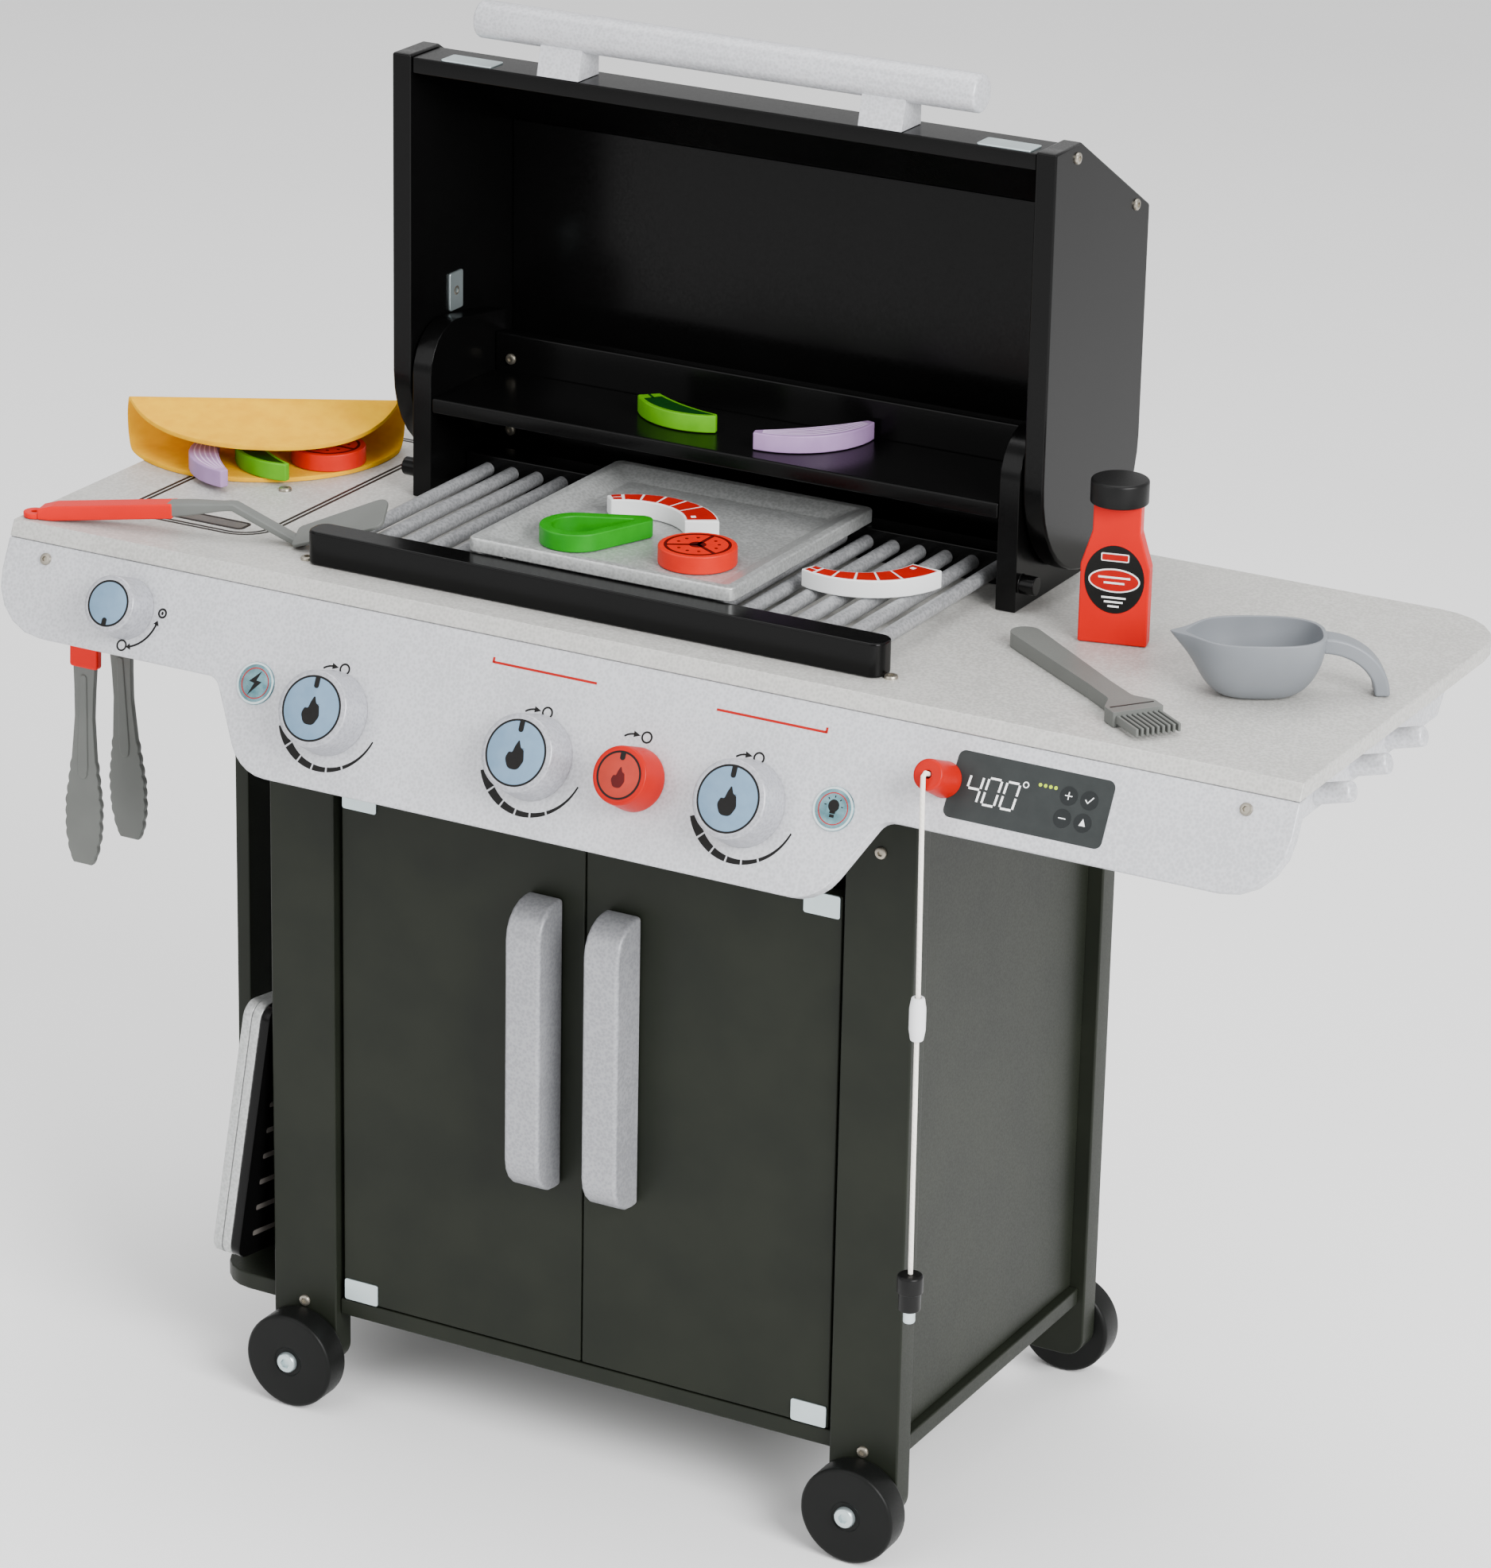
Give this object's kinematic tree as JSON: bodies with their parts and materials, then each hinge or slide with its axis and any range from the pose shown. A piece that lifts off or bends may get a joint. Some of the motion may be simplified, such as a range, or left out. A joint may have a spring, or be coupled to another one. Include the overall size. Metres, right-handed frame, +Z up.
{
  "type": "toy barbecue grill",
  "caption": "Wooden play barbecue with an opening lid, slanted panel of turning knobs, cabinet with doors, wheels, hooks, tools and play food.",
  "frame": {"origin": "on the floor, under the middle of the box round the whole toy without the hanging cord and probe", "axes": "+X along the worktop towards the end with the display, +Y from the control panel to the back, +Z up"},
  "size_m": [0.8166, 0.3494, 0.793],
  "materials": {
    "black_paint": "satin black paint",
    "dark_paint": "satin charcoal paint",
    "silver_paint": "satin silver paint with fine flakes",
    "knob_paint": "satin silver paint",
    "red_paint": "satin red paint",
    "wheel_black": "gloss black paint",
    "grey_plastic": "smooth mid grey",
    "cord_white": "woven cotton cord",
    "white_plastic": "smooth white",
    "felt": "orange felt",
    "food_white": "white paint with printed faces",
    "food_green": "green paint with printed faces",
    "food_red": "red paint with printed faces"
  },
  "bodies": {
    "root": {"bottom_board": "dark_paint", "front_left_post": "dark_paint", "front_right_post": "dark_paint", "rear_left_leg": "dark_paint", "rear_right_leg": "dark_paint", "left_side_panel": "dark_paint", "right_side_panel": "dark_paint", "back_panel": "dark_paint", "storage_board": "dark_paint", "worktop": "silver_paint", "control_panel": "silver_paint", "left_hook_rail": "silver_paint", "right_hook_rail": "silver_paint", "grate": "black_paint", "firebox_left_board": "black_paint", "firebox_right_board": "black_paint", "firebox_back": "black_paint", "warming_shelf": "black_paint", "probe_holder": "red_paint", "probe_cord": "cord_white", "cord_bead": "white_plastic", "probe": "black_paint"},
    "lid": {"lid_left_cheek": "black_paint", "lid_right_cheek": "black_paint", "lid_top_board": "black_paint", "lid_sloped_board": "black_paint", "lid_back_board": "black_paint", "lid_handle": "silver_paint"},
    "left_door": {"left_door": "dark_paint", "left_door_handle": "silver_paint"},
    "right_door": {"right_door": "dark_paint", "right_door_handle": "silver_paint"},
    "front_left_wheel": {"front_left_wheel": "wheel_black"},
    "rear_left_wheel": {"rear_left_wheel": "wheel_black"},
    "front_right_wheel": {"front_right_wheel": "wheel_black"},
    "rear_right_wheel": {"rear_right_wheel": "wheel_black"},
    "knob_left": {"knob_left": "knob_paint"},
    "knob_middle": {"knob_middle": "knob_paint"},
    "knob_right": {"knob_right": "knob_paint"},
    "knob_red": {"knob_red": "red_paint"},
    "knob_side": {"knob_side": "knob_paint"},
    "tray": {"tray": "silver_paint", "tray_shrimp": "food_white", "tray_pepper": "food_green", "tray_tomato": "food_red"},
    "grate_shrimp": {"grate_shrimp": "food_white"},
    "shelf_chili": {"shelf_chili": "food_green"},
    "shelf_onion": {"shelf_onion": "food_white"},
    "taco": {"tortilla": "felt", "filling_onion": "food_white", "filling_chili": "food_green", "filling_tomato": "food_red"},
    "sauce_bottle": {"sauce_bottle": "red_paint"},
    "sauce_bowl": {"sauce_bowl": "grey_plastic"},
    "basting_brush": {"basting_brush": "grey_plastic"},
    "spatula": {"spatula": "grey_plastic"},
    "tongs": {"tongs": "grey_plastic"},
    "stored_plates": {"stored_plate_1": "silver_paint", "stored_plate_2": "silver_paint", "stored_plate_3": "black_paint"}
  },
  "joints": [
    {"name": "lid_hinge", "type": "hinge", "parent": "root", "child": "lid", "pos_m": [-0.02654, 0.08587, 0.5785], "axis": [-1, 0, 0], "range_deg": [-90, 0]},
    {"name": "left_door_hinge", "type": "hinge", "parent": "root", "child": "left_door", "pos_m": [-0.17854, -0.08953, 0.1965], "axis": [0, 0, 1], "range_deg": [-100, 0]},
    {"name": "right_door_hinge", "type": "hinge", "parent": "root", "child": "right_door", "pos_m": [0.12546, -0.08953, 0.1965], "axis": [0, 0, 1], "range_deg": [0, 100]},
    {"name": "front_left_wheel_spin", "type": "hinge", "parent": "root", "child": "front_left_wheel", "pos_m": [-0.20704, -0.10813, 0.02816], "axis": [0, 1, 0], "continuous": true},
    {"name": "rear_left_wheel_spin", "type": "hinge", "parent": "root", "child": "rear_left_wheel", "pos_m": [-0.20704, 0.16187, 0.02816], "axis": [0, 1, 0], "continuous": true},
    {"name": "front_right_wheel_spin", "type": "hinge", "parent": "root", "child": "front_right_wheel", "pos_m": [0.15396, -0.10813, 0.02816], "axis": [0, 1, 0], "continuous": true},
    {"name": "rear_right_wheel_spin", "type": "hinge", "parent": "root", "child": "rear_right_wheel", "pos_m": [0.15396, 0.16187, 0.02816], "axis": [0, 1, 0], "continuous": true},
    {"name": "knob_left_turn", "type": "hinge", "parent": "root", "child": "knob_left", "pos_m": [-0.15534, -0.14785, 0.44348], "axis": [0, -0.9063, 0.4226], "range_deg": [-25, 245]},
    {"name": "knob_middle_turn", "type": "hinge", "parent": "root", "child": "knob_middle", "pos_m": [-0.02804, -0.14785, 0.44348], "axis": [0, -0.9063, 0.4226], "range_deg": [-25, 245]},
    {"name": "knob_right_turn", "type": "hinge", "parent": "root", "child": "knob_right", "pos_m": [0.09926, -0.14785, 0.44348], "axis": [0, -0.9063, 0.4226], "range_deg": [-25, 245]},
    {"name": "knob_red_turn", "type": "hinge", "parent": "root", "child": "knob_red", "pos_m": [0.03406, -0.14785, 0.44348], "axis": [0, -0.9063, 0.4226], "range_deg": [-25, 90]},
    {"name": "knob_side_turn", "type": "hinge", "parent": "root", "child": "knob_side", "pos_m": [-0.29594, -0.13412, 0.47294], "axis": [0, -0.9063, 0.4226], "range_deg": [0, 100]},
    {"name": "tray_pull", "type": "slide", "parent": "root", "child": "tray", "axis": [0, -1, 0], "range_m": [0, 0.12]},
    {"name": "grate_shrimp_lift", "type": "slide", "parent": "root", "child": "grate_shrimp", "axis": [0, 0, 1], "range_m": [0, 0.1]},
    {"name": "shelf_chili_lift", "type": "slide", "parent": "root", "child": "shelf_chili", "axis": [0, 0, 1], "range_m": [0, 0.1]},
    {"name": "shelf_onion_lift", "type": "slide", "parent": "root", "child": "shelf_onion", "axis": [0, 0, 1], "range_m": [0, 0.1]},
    {"name": "taco_lift", "type": "slide", "parent": "root", "child": "taco", "axis": [0, 0, 1], "range_m": [0, 0.1]},
    {"name": "bottle_lift", "type": "slide", "parent": "root", "child": "sauce_bottle", "axis": [0, 0, 1], "range_m": [0, 0.1]},
    {"name": "bowl_lift", "type": "slide", "parent": "root", "child": "sauce_bowl", "axis": [0, 0, 1], "range_m": [0, 0.1]},
    {"name": "brush_lift", "type": "slide", "parent": "root", "child": "basting_brush", "axis": [0, 0, 1], "range_m": [0, 0.1]},
    {"name": "spatula_lift", "type": "slide", "parent": "root", "child": "spatula", "axis": [0, 0, 1], "range_m": [0, 0.1]},
    {"name": "tongs_pull", "type": "slide", "parent": "root", "child": "tongs", "axis": [-0.9659, 0, 0.2588], "range_m": [0, 0.06]},
    {"name": "plates_pull", "type": "slide", "parent": "root", "child": "stored_plates", "axis": [-0.0698, -0.9976, 0], "range_m": [0, 0.15]}
  ]
}
